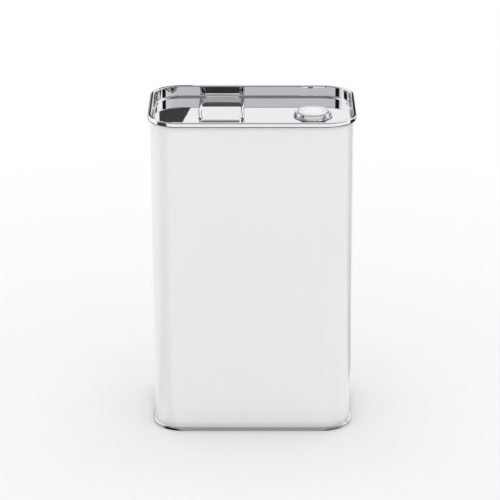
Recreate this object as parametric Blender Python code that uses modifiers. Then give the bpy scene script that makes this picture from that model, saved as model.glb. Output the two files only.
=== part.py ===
"""Rectangular tinplate can with a recessed top, a strap handle and a pull-out pouring spout.

Metres, +Z up. The origin is the centre of the base, at the height that the can stands on.
X runs along the wide side, the strap is at -X and the spout at +X, and the front faces -Y.
"""

import math

import bmesh
import bpy
from mathutils import Vector

# Driving dimensions of the can
CAN_WIDTH = 0.1650
CAN_DEPTH = 0.1060
CAN_HEIGHT = 0.2635
CORNER_RADIUS = 0.0258
CORNER_SEGMENTS = 8
SHEET = 0.0004
CLEARANCE = 0.0003

# Double seams: five sheets side by side, and what lies between cover and body
TOP_SEAM_HEIGHT = 0.0042
BOTTOM_SEAM_HEIGHT = 0.0034
COMPOUND_THICKNESS = 0.0004
SEAM_CREST_RADIUS = 0.0010
SEAM_FOLD_RADIUS = 0.0004
ARC_SEGMENTS = 3
LAYER_PITCH = SHEET + CLEARANCE
OUTER_LEG = SHEET / 2
BODY_HOOK = OUTER_LEG + LAYER_PITCH
COVER_HOOK = BODY_HOOK + LAYER_PITCH
WALL_LAYER = COVER_HOOK + LAYER_PITCH
INNER_LEG = WALL_LAYER + LAYER_PITCH

# Ends
RECESS_DEPTH = 0.0094
COUNTERSINK_DEPTH = 0.0050
PANEL_FILLET = 0.0012

# Neck-in of the body above its bottom seam
NECK_IN = 0.0011
NECK_IN_START = 0.0095
NECK_IN_END = 0.0060

# Lap of the welded side seam, at the middle of the back
LAP_WIDTH = 0.0060
LAP_PROUD = 0.0003
LAP_END_MARGIN = 0.0060

# Carrying strap
STRAP_FROM_LEFT = 0.0581
STRAP_WIDTH = 0.0362
TONGUE_WIDTH = 0.0280
STRAP_SHEET = 0.0008
STRAP_WALL_GAP = 0.0010
STRAP_CREST = 0.0080
STRAP_CREST_LENGTH = 0.0160
STRAP_CREST_DIP = 0.0005
STRAP_FOOT_LENGTH = 0.0060
STRAP_SHOULDER = 0.0130
STRAP_SHOULDER_HEIGHT = 0.0032
BEAD_RADIUS = 0.0013
BEAD_SEGMENTS = 8
BEAD_START = 0.0165

# Spout: places and the heights of its seat above the panel
SPOUT_FROM_RIGHT = 0.0339
SPOUT_Y = -0.0040
TURN_STEPS = 32
NECK_BORE_RADIUS = 0.0130
NECK_HEIGHT = 0.0022
NECK_BEAD = 0.0005
NECK_BEAD_HEIGHT = 0.0007
GASKET_THICKNESS = 0.0004
GUIDE_FLANGE = 0.0006
GUIDE_WALL = 0.0010
GUIDE_LIP_TOP = 0.0070
GUIDE_LIP_THICKNESS = 0.0015
COLLAR_FLARE = 0.0009
COLLAR_LIP_SETBACK = 0.0007
COLLAR_TUCK = 0.0009
SPOUT_WALL = 0.0014
SPOUT_FOOT_THICKNESS = 0.0015
SPOUT_TRAVEL = 0.0190
THREAD_DEPTH = 0.0005
THREAD_HEIGHT = 0.0008
THREAD_PITCH = 0.0020
THREAD_COUNT = 2
CAP_WALL = 0.0012
CAP_ROOF = 0.0009
CAP_EDGE = 0.0004
CAP_SKIRT_GAP = 0.0005
LINER_THICKNESS = 0.0008
RING_THICKNESS = 0.0008
RING_WIDTH = 0.0019
RING_MARGIN = 0.0010

CUT_OVERRUN = 0.0020
MERGE_DISTANCE = 0.00001

# Places and heights that follow from the sizes above
STRAP_X = STRAP_FROM_LEFT - CAN_WIDTH / 2
SPOUT_X = CAN_WIDTH / 2 - SPOUT_FROM_RIGHT
PANEL_TOP = CAN_HEIGHT - RECESS_DEPTH
NECK_RADIUS = NECK_BORE_RADIUS + SHEET
BEAD_OUTER_RADIUS = NECK_RADIUS + NECK_BEAD
COLLAR_TOP_RADIUS = BEAD_OUTER_RADIUS + CLEARANCE + SHEET
COLLAR_BASE_RADIUS = COLLAR_TOP_RADIUS + COLLAR_FLARE
GASKET_BOTTOM = NECK_HEIGHT + CLEARANCE
FLANGE_BOTTOM = GASKET_BOTTOM + GASKET_THICKNESS + CLEARANCE
FLANGE_TOP = FLANGE_BOTTOM + GUIDE_FLANGE
COLLAR_TOP = FLANGE_TOP + CLEARANCE + SHEET
GUIDE_RADIUS = NECK_BORE_RADIUS - CLEARANCE
GUIDE_BORE = GUIDE_RADIUS - GUIDE_WALL
GUIDE_LIP_BOTTOM = -GUIDE_LIP_TOP - GUIDE_LIP_THICKNESS
COLLAR_LIP_RADIUS = GUIDE_BORE + COLLAR_LIP_SETBACK
CAP_RADIUS = GUIDE_BORE - CLEARANCE
CAP_BORE = CAP_RADIUS - CAP_WALL
THREAD_RADIUS = CAP_BORE - CLEARANCE
SPOUT_RADIUS = THREAD_RADIUS - THREAD_DEPTH
SPOUT_BORE = SPOUT_RADIUS - SPOUT_WALL
GUIDE_LIP_RADIUS = SPOUT_RADIUS + CLEARANCE
CAP_TOP = COLLAR_TOP + CLEARANCE
GROOVE_FLOOR = CAP_TOP - RING_THICKNESS - CLEARANCE
CAP_CEILING = GROOVE_FLOOR - CAP_ROOF
LINER_TOP = CAP_CEILING - CLEARANCE
SPOUT_TOP = LINER_TOP - LINER_THICKNESS - CLEARANCE
SPOUT_FOOT_TOP = GUIDE_LIP_BOTTOM - CLEARANCE - SPOUT_TRAVEL
SPOUT_FOOT_BOTTOM = SPOUT_FOOT_TOP - SPOUT_FOOT_THICKNESS
GUIDE_BOTTOM = SPOUT_FOOT_BOTTOM - CLEARANCE
CAP_BOTTOM = -GUIDE_LIP_TOP + CAP_SKIRT_GAP
RING_OUTER = CAP_RADIUS - RING_MARGIN
RING_INNER = RING_OUTER - RING_WIDTH

COLLECTION_NAME = "rectangular_tin"


def clear_scene():
    """Remove every object that the new file starts with."""
    for thing in list(bpy.data.objects):
        bpy.data.objects.remove(thing, do_unlink=True)


def make_collection(name):
    group = bpy.data.collections.new(name)
    bpy.context.scene.collection.children.link(group)
    return group


def make_material(name, colour, roughness, metallic):
    finish = bpy.data.materials.new(name)
    finish.use_nodes = True
    shader = finish.node_tree.nodes["Principled BSDF"]
    shader.inputs["Base Color"].default_value = (*colour, 1.0)
    shader.inputs["Roughness"].default_value = roughness
    shader.inputs["Metallic"].default_value = metallic
    finish.diffuse_color = (*colour, 1.0)
    return finish


def add_object(name, mesh, group, finish=None, location=(0.0, 0.0, 0.0)):
    thing = bpy.data.objects.new(name, mesh)
    thing.location = location
    group.objects.link(thing)
    if finish:
        mesh.materials.append(finish)
    return thing


def smooth(mesh, angle_degrees=35.0):
    mesh.shade_smooth()
    mesh.set_sharp_from_angle(angle=math.radians(angle_degrees))


def add_cutter(name, mesh, group, location=(0.0, 0.0, 0.0)):
    thing = add_object(name, mesh, group, location=location)
    thing.hide_render = True
    thing.display_type = "WIRE"
    return thing


def add_boolean(thing, name, operation, other):
    step = thing.modifiers.new(name, "BOOLEAN")
    step.operation = operation
    step.solver = "EXACT"
    step.object = other
    return step


def arc(centre, radius, start_degrees, end_degrees, segments=ARC_SEGMENTS):
    """Points of an arc in a profile, as (across, up)."""
    points = []
    for step in range(segments + 1):
        angle = math.radians(start_degrees + (end_degrees - start_degrees) * step / segments)
        points.append((centre[0] + radius * math.cos(angle), centre[1] + radius * math.sin(angle)))
    return points


def outline(inset, height):
    """The can's rounded rectangle, drawn in from the top seam's outer face."""
    half_width = CAN_WIDTH / 2 - inset
    half_depth = CAN_DEPTH / 2 - inset
    radius = CORNER_RADIUS - inset
    points = []
    for corner, (side_x, side_y) in enumerate(((1, 1), (-1, 1), (-1, -1), (1, -1))):
        for step in range(CORNER_SEGMENTS + 1):
            angle = math.radians(90.0) * (corner + step / CORNER_SEGMENTS)
            points.append(Vector((
                side_x * (half_width - radius) + radius * math.cos(angle),
                side_y * (half_depth - radius) + radius * math.sin(angle),
                height,
            )))
    return points


def drawn_surface(name, profile, panel=False):
    """An open surface that follows a profile of (inset, height) round the can's outline.

    The first outline is extruded from station to station, and a panel may close the last one.
    """
    bm = bmesh.new()
    ring = [bm.verts.new(point) for point in outline(*profile[0])]
    edges = [bm.edges.new((ring[i - 1], ring[i])) for i in range(len(ring))]
    for station in profile[1:]:
        made = bmesh.ops.extrude_edge_only(bm, edges=edges)["geom"]
        new_edges = [item for item in made if isinstance(item, bmesh.types.BMEdge) and item.is_boundary]
        partner = {}
        for vert in (item for item in made if isinstance(item, bmesh.types.BMVert)):
            for edge in vert.link_edges:
                old = edge.other_vert(vert)
                if old in ring:
                    partner[old] = vert
        ring = [partner[vert] for vert in ring]
        for vert, point in zip(ring, outline(*station)):
            vert.co = point
        edges = [edge for edge in new_edges if all(vert in ring for vert in edge.verts)]
    if panel:
        bmesh.ops.contextual_create(bm, geom=edges)
    bmesh.ops.recalc_face_normals(bm, faces=bm.faces)
    mesh = bpy.data.meshes.new(name)
    bm.to_mesh(mesh)
    bm.free()
    return mesh


def sheet_piece(name, profile, group, finish, panel=False, thickness=SHEET):
    """A sheet-metal piece whose profile is the middle of its sheet."""
    mesh = drawn_surface(name, profile, panel)
    thing = add_object(name, mesh, group, finish)
    wall = thing.modifiers.new("Sheet", "SOLIDIFY")
    wall.thickness = thickness
    wall.offset = 0.0
    wall.use_even_offset = True
    wall.use_quality_normals = True
    smooth(mesh)
    return thing


def turned_piece(name, profile, group, finish, location, closed=True):
    """A piece turned about its own upright axis from a profile of (radius, height).

    The profile runs down the outer side first. A closed one is a ring, an open one starts and
    ends on the axis.
    """
    bm = bmesh.new()
    verts = [bm.verts.new((radius, 0.0, height)) for radius, height in profile]
    for i in range(1, len(verts)):
        bm.edges.new((verts[i - 1], verts[i]))
    if closed:
        bm.edges.new((verts[-1], verts[0]))
    mesh = bpy.data.meshes.new(name)
    bm.to_mesh(mesh)
    bm.free()
    thing = add_object(name, mesh, group, finish, location)
    turn = thing.modifiers.new("Turn", "SCREW")
    turn.axis = "Z"
    turn.steps = TURN_STEPS
    turn.render_steps = TURN_STEPS
    turn.use_merge_vertices = True
    turn.merge_threshold = MERGE_DISTANCE
    turn.use_smooth_shade = True
    return thing


def seam_cover_profile(edge_height, side, seam_height, extra_inset, panel_depth):
    """Middle of the cover's sheet from its hook over the seam's crest to its flat panel.

    Side is 1 for the top and -1 for the base. Depths run from the crest into the can.
    """
    fold = SEAM_FOLD_RADIUS
    crest = SEAM_CREST_RADIUS
    high = -SHEET / 2
    low = SHEET / 2 - seam_height
    points = [(COVER_HOOK, -hook_tip_depth())]
    points += arc((COVER_HOOK - fold, low + fold), fold, 0.0, -90.0, 2)
    points += arc((OUTER_LEG + fold, low + fold), fold, -90.0, -180.0, 2)
    points += arc((OUTER_LEG + crest, high - crest), crest, 180.0, 90.0)
    points += arc((INNER_LEG - crest, high - crest), crest, 90.0, 0.0)
    points += arc((INNER_LEG + PANEL_FILLET, PANEL_FILLET - panel_depth), PANEL_FILLET, 180.0, 270.0)
    return [(across + extra_inset, edge_height + side * up) for across, up in points]


def hook_tip_depth():
    """Depth from the crest at which the cover's hook ends, clear of the body's flange."""
    return flange_depth() + SHEET / 2 + CLEARANCE


def flange_depth():
    """Depth below the crest of the middle of the body's turned-out flange."""
    return SHEET + CLEARANCE + COMPOUND_THICKNESS + CLEARANCE + SHEET / 2


def body_hook_depth(seam_height):
    """Depth below the crest at which the body's hook ends, clear of the cover's fold."""
    return seam_height - SHEET - CLEARANCE


def make_ends(group, tinplate):
    top = sheet_piece(
        "top_end",
        seam_cover_profile(CAN_HEIGHT, 1, TOP_SEAM_HEIGHT, 0.0, RECESS_DEPTH + SHEET / 2),
        group, tinplate, panel=True)
    bottom = sheet_piece(
        "bottom_end",
        seam_cover_profile(0.0, -1, BOTTOM_SEAM_HEIGHT, NECK_IN, COUNTERSINK_DEPTH + SHEET / 2),
        group, tinplate, panel=True)
    return top, bottom


def body_profile():
    """Middle of the body's sheet, from the hook in the bottom seam to the hook in the top one."""
    fold = SEAM_FOLD_RADIUS
    low = flange_depth()
    high = CAN_HEIGHT - flange_depth()
    points = [(BODY_HOOK + NECK_IN, body_hook_depth(BOTTOM_SEAM_HEIGHT))]
    points += arc((BODY_HOOK + fold + NECK_IN, low + fold), fold, 180.0, 270.0, 2)
    points += arc((WALL_LAYER - fold + NECK_IN, low + fold), fold, 270.0, 360.0, 2)
    points += [(WALL_LAYER + NECK_IN, NECK_IN_END), (WALL_LAYER, NECK_IN_START)]
    points += arc((WALL_LAYER - fold, high - fold), fold, 0.0, 90.0, 2)
    points += arc((BODY_HOOK + fold, high - fold), fold, 90.0, 180.0, 2)
    points += [(BODY_HOOK, CAN_HEIGHT - body_hook_depth(TOP_SEAM_HEIGHT))]
    return points


def make_body(group, cutters, lacquer):
    body = sheet_piece("body_wall", body_profile(), group, lacquer)
    low = NECK_IN_START + LAP_END_MARGIN
    high = CAN_HEIGHT - TOP_SEAM_HEIGHT - LAP_END_MARGIN
    outer_face = CAN_DEPTH / 2 - WALL_LAYER + SHEET / 2
    bm = bmesh.new()
    bmesh.ops.create_cube(bm, size=1.0)
    bmesh.ops.scale(bm, verts=bm.verts, vec=(LAP_WIDTH, LAP_PROUD + SHEET / 2, high - low))
    bmesh.ops.translate(bm, verts=bm.verts, vec=(
        0.0, outer_face + LAP_PROUD - (LAP_PROUD + SHEET / 2) / 2, (low + high) / 2))
    mesh = bpy.data.meshes.new("side_seam_lap")
    bm.to_mesh(mesh)
    bm.free()
    lap = add_cutter("side_seam_lap", mesh, cutters)
    add_boolean(body, "Lap", "UNION", lap)
    return body


def make_compounds(group, rubber):
    """Lining compound between each cover's crest and the body's flange."""
    depth = SHEET + CLEARANCE + COMPOUND_THICKNESS / 2
    inner = WALL_LAYER - SEAM_FOLD_RADIUS
    outer = BODY_HOOK + SEAM_FOLD_RADIUS
    sheet_piece("top_seam_compound", [(outer, CAN_HEIGHT - depth), (inner, CAN_HEIGHT - depth)],
                group, rubber, thickness=COMPOUND_THICKNESS)
    sheet_piece("bottom_seam_compound", [(outer + NECK_IN, depth), (inner + NECK_IN, depth)],
                group, rubber, thickness=COMPOUND_THICKNESS)


def add_neck(top, cutters):
    """Draw the spout's neck up out of the top end, then cut its bore through the panel."""
    place = (SPOUT_X, SPOUT_Y, PANEL_TOP)
    profile = [
        (0.0, NECK_HEIGHT),
        (BEAD_OUTER_RADIUS, NECK_HEIGHT),
        (BEAD_OUTER_RADIUS, NECK_HEIGHT - NECK_BEAD_HEIGHT),
        (NECK_RADIUS, NECK_HEIGHT - NECK_BEAD_HEIGHT - NECK_BEAD),
        (NECK_RADIUS, -SHEET / 2),
        (0.0, -SHEET / 2),
    ]
    plug = turned_piece("neck_plug", profile, cutters, None, place, closed=False)
    plug.hide_render = True
    plug.display_type = "WIRE"
    add_boolean(top, "Neck", "UNION", plug)
    bm = bmesh.new()
    bmesh.ops.create_cone(bm, cap_ends=True, segments=TURN_STEPS, radius1=NECK_BORE_RADIUS,
                          radius2=NECK_BORE_RADIUS, depth=2 * (NECK_HEIGHT + CUT_OVERRUN))
    mesh = bpy.data.meshes.new("neck_bore")
    bm.to_mesh(mesh)
    bm.free()
    bore = add_cutter("neck_bore", mesh, cutters, place)
    add_boolean(top, "Bore", "DIFFERENCE", bore)


def strap_line():
    """Middle of the strap's sheet along its length, as (along, height above the panel)."""
    half = CAN_DEPTH / 2 - INNER_LEG - SHEET / 2 - STRAP_WALL_GAP
    foot = CLEARANCE + STRAP_SHEET / 2
    crest = STRAP_CREST - STRAP_SHEET / 2
    right_half = [
        (0.0, crest),
        (STRAP_CREST_LENGTH / 4, crest - STRAP_CREST_DIP / 4),
        (STRAP_CREST_LENGTH / 2, crest - STRAP_CREST_DIP),
        (half - STRAP_SHOULDER, STRAP_SHOULDER_HEIGHT),
        (half - STRAP_FOOT_LENGTH, foot),
        (half, foot),
    ]
    left_half = [(-along, height) for along, height in reversed(right_half[1:])]
    return left_half + right_half


def height_on_strap(along):
    line = strap_line()
    for (a0, h0), (a1, h1) in zip(line, line[1:]):
        if a0 <= along <= a1:
            return h0 + (h1 - h0) * (along - a0) / (a1 - a0)
    return line[-1][1]


def make_strap(group, tinplate):
    """The strap: a bent sheet with narrow tongues, and a rolled bead down each long side."""
    line = strap_line()
    half = line[-1][0]
    tongue_start = half - BEAD_START
    stations = sorted({along for along, height in line} | {-tongue_start, tongue_start})
    bm = bmesh.new()
    rows = []
    for along in stations:
        wide = abs(along) <= tongue_start
        half_width = STRAP_WIDTH / 2 - BEAD_RADIUS if wide else TONGUE_WIDTH / 2
        height = PANEL_TOP + height_on_strap(along)
        rows.append([bm.verts.new((side * half_width, along, height)) for side in (-1, 1)])
    for first, second in zip(rows, rows[1:]):
        bm.faces.new((first[0], first[1], second[1], second[0]))
    mesh = bpy.data.meshes.new("handle_strap")
    bm.to_mesh(mesh)
    bm.free()
    strap = add_object("handle_strap", mesh, group, tinplate, (STRAP_X, 0.0, 0.0))
    wall = strap.modifiers.new("Sheet", "SOLIDIFY")
    wall.thickness = STRAP_SHEET
    wall.offset = 0.0
    wall.use_even_offset = True
    smooth(mesh)
    return strap, tongue_start


def make_strap_beads(strap, tongue_start, cutters):
    """Rolled edges as round bars along the strap's sides, joined to its sheet."""
    line = strap_line()
    bead_end = tongue_start - BEAD_RADIUS
    stations = [along for along, height in line if abs(along) < bead_end]
    stations = [-bead_end] + stations + [bead_end]
    for side, word in ((-1, "left"), (1, "right")):
        curve = bpy.data.curves.new("strap_bead_" + word, "CURVE")
        curve.dimensions = "3D"
        curve.bevel_depth = BEAD_RADIUS
        curve.bevel_resolution = BEAD_SEGMENTS // 4
        curve.use_fill_caps = True
        spline = curve.splines.new("POLY")
        spline.points.add(len(stations) - 1)
        for point, along in zip(spline.points, stations):
            point.co = (0.0, along, PANEL_TOP + height_on_strap(along), 1.0)
        rod = bpy.data.objects.new("strap_bead_path_" + word, curve)
        rod.location = (STRAP_X + side * (STRAP_WIDTH / 2 - BEAD_RADIUS), 0.0, 0.0)
        cutters.objects.link(rod)
        bpy.context.view_layer.update()
        solid = bpy.data.meshes.new_from_object(rod.evaluated_get(bpy.context.evaluated_depsgraph_get()))
        bm = bmesh.new()
        bm.from_mesh(solid)
        bmesh.ops.remove_doubles(bm, verts=bm.verts, dist=MERGE_DISTANCE)
        bm.to_mesh(solid)
        bm.free()
        bead = add_cutter("strap_bead_" + word, solid, cutters)
        bead.matrix_world = rod.matrix_world
        bpy.data.objects.remove(rod, do_unlink=True)
        add_boolean(strap, "Bead " + word, "UNION", bead)


def make_closure(group, tinplate, plastic, rubber):
    """Spout seat, pull-out spout and cap, outermost first."""
    place = (SPOUT_X, SPOUT_Y, PANEL_TOP)

    turned_piece("neck_gasket", [
        (BEAD_OUTER_RADIUS, GASKET_BOTTOM + GASKET_THICKNESS),
        (BEAD_OUTER_RADIUS, GASKET_BOTTOM),
        (NECK_BORE_RADIUS, GASKET_BOTTOM),
        (NECK_BORE_RADIUS, GASKET_BOTTOM + GASKET_THICKNESS),
    ], group, rubber, place)

    collar_floor = CLEARANCE
    turned_piece("spout_collar", [
        (COLLAR_LIP_RADIUS + SHEET, COLLAR_TOP),
        (COLLAR_TOP_RADIUS - SHEET, COLLAR_TOP),
        (COLLAR_TOP_RADIUS, COLLAR_TOP - SHEET),
        (COLLAR_BASE_RADIUS, collar_floor + SHEET),
        (COLLAR_BASE_RADIUS - SHEET / 2, collar_floor),
        (COLLAR_BASE_RADIUS - COLLAR_TUCK, collar_floor),
        (COLLAR_BASE_RADIUS - COLLAR_TUCK, collar_floor + SHEET),
        (COLLAR_BASE_RADIUS - SHEET, collar_floor + SHEET),
        (COLLAR_TOP_RADIUS - SHEET, COLLAR_TOP - SHEET),
        (COLLAR_LIP_RADIUS + SHEET, COLLAR_TOP - SHEET),
        (COLLAR_LIP_RADIUS, COLLAR_TOP - SHEET / 2),
    ], group, tinplate, place)

    turned_piece("spout_guide", [
        (BEAD_OUTER_RADIUS, FLANGE_TOP),
        (BEAD_OUTER_RADIUS, FLANGE_BOTTOM),
        (GUIDE_RADIUS, FLANGE_BOTTOM),
        (GUIDE_RADIUS, GUIDE_BOTTOM),
        (GUIDE_BORE, GUIDE_BOTTOM),
        (GUIDE_BORE, GUIDE_LIP_BOTTOM),
        (GUIDE_LIP_RADIUS, GUIDE_LIP_BOTTOM),
        (GUIDE_LIP_RADIUS, -GUIDE_LIP_TOP),
        (GUIDE_BORE, -GUIDE_LIP_TOP),
        (GUIDE_BORE, FLANGE_TOP),
    ], group, plastic, place)

    outer = [(SPOUT_RADIUS, SPOUT_TOP)]
    for turn in range(THREAD_COUNT):
        start = SPOUT_TOP - THREAD_PITCH * (turn + 1 / 2)
        outer += [
            (SPOUT_RADIUS, start),
            (THREAD_RADIUS, start - THREAD_HEIGHT / 4),
            (THREAD_RADIUS, start - THREAD_HEIGHT * 3 / 4),
            (SPOUT_RADIUS, start - THREAD_HEIGHT),
        ]
    foot_radius = GUIDE_BORE - CLEARANCE
    turned_piece("spout_tube", outer + [
        (SPOUT_RADIUS, SPOUT_FOOT_TOP),
        (foot_radius, SPOUT_FOOT_TOP),
        (foot_radius, SPOUT_FOOT_BOTTOM),
        (SPOUT_BORE, SPOUT_FOOT_BOTTOM),
        (SPOUT_BORE, SPOUT_TOP),
    ], group, plastic, place)

    turned_piece("cap_liner", [
        (0.0, LINER_TOP),
        (CAP_BORE - CLEARANCE, LINER_TOP),
        (CAP_BORE - CLEARANCE, LINER_TOP - LINER_THICKNESS),
        (0.0, LINER_TOP - LINER_THICKNESS),
    ], group, rubber, place, closed=False)

    groove_outer = RING_OUTER + CLEARANCE
    groove_inner = RING_INNER - CLEARANCE
    turned_piece("spout_cap", [
        (0.0, CAP_TOP),
        (groove_inner, CAP_TOP),
        (groove_inner, GROOVE_FLOOR),
        (groove_outer, GROOVE_FLOOR),
        (groove_outer, CAP_TOP),
        (CAP_RADIUS - CAP_EDGE, CAP_TOP),
        (CAP_RADIUS, CAP_TOP - CAP_EDGE),
        (CAP_RADIUS, CAP_BOTTOM),
        (CAP_BORE, CAP_BOTTOM),
        (CAP_BORE, CAP_CEILING),
        (0.0, CAP_CEILING),
    ], group, plastic, place, closed=False)


def make_pull_ring(group, plastic):
    """The ring lies in the cap's groove and turns up about the top of its rear edge."""
    hinge = (SPOUT_X, SPOUT_Y + RING_OUTER, PANEL_TOP + CAP_TOP)
    turned_piece("pull_ring", [
        (RING_OUTER, CAP_TOP),
        (RING_OUTER, CAP_TOP - RING_THICKNESS),
        (RING_INNER, CAP_TOP - RING_THICKNESS),
        (RING_INNER, CAP_TOP),
    ], group, plastic, (SPOUT_X, SPOUT_Y, PANEL_TOP))
    ring = bpy.data.objects["pull_ring"]
    pivot = bpy.data.objects.new("pull_ring_hinge", None)
    pivot.location = hinge
    group.objects.link(pivot)
    ring.parent = pivot
    ring.location = Vector((SPOUT_X, SPOUT_Y, PANEL_TOP)) - Vector(hinge)


def main():
    clear_scene()
    group = make_collection(COLLECTION_NAME)
    cutters = make_collection("cutters")
    lacquer = make_material("white_lacquer", (0.86, 0.86, 0.86), 0.35, 0.0)
    tinplate = make_material("bright_tinplate", (0.82, 0.83, 0.85), 0.12, 1.0)
    plastic = make_material("white_plastic", (0.88, 0.88, 0.88), 0.40, 0.0)
    rubber = make_material("grey_rubber", (0.35, 0.36, 0.37), 0.70, 0.0)
    top, bottom = make_ends(group, tinplate)
    make_body(group, cutters, lacquer)
    make_compounds(group, rubber)
    add_neck(top, cutters)
    strap, tongue_start = make_strap(group, tinplate)
    make_strap_beads(strap, tongue_start, cutters)
    make_closure(group, tinplate, plastic, rubber)
    make_pull_ring(group, plastic)


main()
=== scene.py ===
import math

import bmesh
import bpy
from bpy.props import FloatProperty, FloatVectorProperty, IntProperty, PointerProperty
from mathutils import Matrix, Vector


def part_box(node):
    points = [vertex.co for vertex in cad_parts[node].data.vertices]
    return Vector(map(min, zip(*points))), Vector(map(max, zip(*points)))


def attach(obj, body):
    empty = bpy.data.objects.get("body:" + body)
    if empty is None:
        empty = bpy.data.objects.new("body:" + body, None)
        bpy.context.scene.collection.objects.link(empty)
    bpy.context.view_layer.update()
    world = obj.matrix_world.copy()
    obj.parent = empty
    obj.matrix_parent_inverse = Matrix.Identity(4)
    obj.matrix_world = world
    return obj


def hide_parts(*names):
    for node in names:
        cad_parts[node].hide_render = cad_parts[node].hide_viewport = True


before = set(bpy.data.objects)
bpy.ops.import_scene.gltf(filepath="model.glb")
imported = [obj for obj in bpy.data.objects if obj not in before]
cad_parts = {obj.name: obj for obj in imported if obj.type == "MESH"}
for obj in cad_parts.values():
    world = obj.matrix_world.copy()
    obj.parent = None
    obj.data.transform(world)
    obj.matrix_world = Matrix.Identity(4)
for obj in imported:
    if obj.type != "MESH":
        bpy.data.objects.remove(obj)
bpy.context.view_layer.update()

bl_info = {
    "name": "Rectangular Tin",
    "version": (1, 0, 0),
    "blender": (4, 5, 0),
    "location": "3D Viewport > Sidebar > Tin",
    "description": "Builds the looks of a rectangular tinplate can round its packed frame",
    "category": "Add Mesh",
}

# Places read from the frame
TOP_LOW, TOP_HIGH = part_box("top_end")
STRAP_LOW, STRAP_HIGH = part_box("handle_strap")
COLLAR_LOW, COLLAR_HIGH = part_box("spout_collar")
GUIDE_LOW, GUIDE_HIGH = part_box("spout_guide")
TUBE_LOW, TUBE_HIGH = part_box("spout_tube")
CAP_LOW, CAP_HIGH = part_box("spout_cap")
RING_LOW, RING_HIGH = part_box("pull_ring")
CAN_TOP = TOP_HIGH.z
CLOSURE_AXIS = (COLLAR_LOW + COLLAR_HIGH) / 2

# Lengths below which a step counts as straight, two places as the same, and two vertices as one
NO_STEP = 0.0000001
SAME_PLACE = 0.000001
MERGE_DISTANCE = 0.00001

# Support points of a rounding, in radii from its corner, so that only the rounding shades round
SUPPORT_SHARE = 1.3
WALL_SUPPORT_SHARE = 1.2

# Faces across a rounding of a seam or a panel
ROUNDING_STEPS = 6


# Settings in the panel

def length(name, description, default):
    return FloatProperty(name=name, description=description, default=default, unit="LENGTH")


def tilt(name, description, degrees):
    return FloatProperty(
        name=name, description=description, default=math.radians(degrees), subtype="ANGLE")


def colour(name, description, default):
    return FloatVectorProperty(
        name=name, description=description, default=default, subtype="COLOR", min=0.0, max=1.0)


class TinCanSizes(bpy.types.PropertyGroup):
    width: length("Width", "Over the top seam, along the wide side", TOP_HIGH.x - TOP_LOW.x)
    depth: length("Depth", "Over the top seam, from front to back", TOP_HIGH.y - TOP_LOW.y)
    corner_radius: length("Corner Radius", "Of the top seam's outer face", 0.0258)
    corner_segments: IntProperty(
        name="Corner Segments", description="Faces round each corner of the can",
        default=20, min=4)
    sheet: length("Sheet", "Thickness of the tinplate", 0.0004)
    crest_radius: length("Crest Radius", "Rounding of a seam's crest", 0.0007)
    fold_radius: length("Fold Radius", "Rounding of the top seam's lower fold", 0.0016)
    top_seam: length("Top Seam", "Height of the top seam", 0.0045)
    bottom_seam: length("Bottom Seam", "Height of the bottom seam", 0.0031)
    seam_reach: length("Seam Reach", "From a seam's outer face to the body's outer face", 0.0021)
    seam_width: length("Seam Width", "From a seam's outer face to the recess inside it", 0.0032)
    recess: length("Recess", "From the top crest down to the top panel", 0.0094)
    countersink: length("Countersink", "From the base crest up to the bottom panel", 0.0050)
    panel_fillet: length("Panel Fillet", "Between a panel and the wall round it", 0.0013)
    neck_in: length("Neck-In", "How far the body draws in above its bottom seam", 0.0011)
    neck_in_start: length("Neck-In Start", "Height at which the body starts to draw in", 0.0080)
    neck_in_end: length("Neck-In End", "Height below which the body is straight again", 0.0036)
    lap_width: length("Lap Width", "Of the welded lap at the middle of the back", 0.0060)
    lap_proud: length("Lap Proud", "How far the lap stands off the back", 0.0003)


class TinStrapSizes(bpy.types.PropertyGroup):
    sheet: length("Sheet", "Thickness of the strap", 0.0008)
    plate_width: length("Plate Width", "Between the two rolled edges", 0.0312)
    tongue_width: length("Tongue Width", "Of the narrow ends that are welded down", 0.0280)
    roll_radius: length("Roll Radius", "Outer radius of a rolled edge", 0.0014)
    roll_length: length("Roll Length", "Of each rolled edge", 0.0520)
    crest_height: length("Crest Height", "Middle of the strap's sheet above the panel", 0.0076)
    crest_length: length("Crest Length", "Of the nearly flat middle", 0.0160)
    crest_shift: length(
        "Crest Shift", "How far the highest point lies in front of the middle", 0.0045)
    crest_dip: length("Crest Dip", "Fall from the middle to the crest's ends", 0.0004)
    shoulder: length("Shoulder", "From a strap end in to its steeper slope", 0.0193)
    shoulder_height: length(
        "Shoulder Height", "Of the sheet's middle above the panel there", 0.0042)
    foot: length("Foot", "Length that lies flat on the panel", 0.0060)
    foot_height: length("Foot Height", "Of the foot's sheet middle above the panel", 0.0007)
    tongue_length: length("Tongue Length", "Of each narrow end", 0.0165)
    bend_radius: length("Bend", "How far from a bend its rounding starts", 0.0025)


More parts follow.
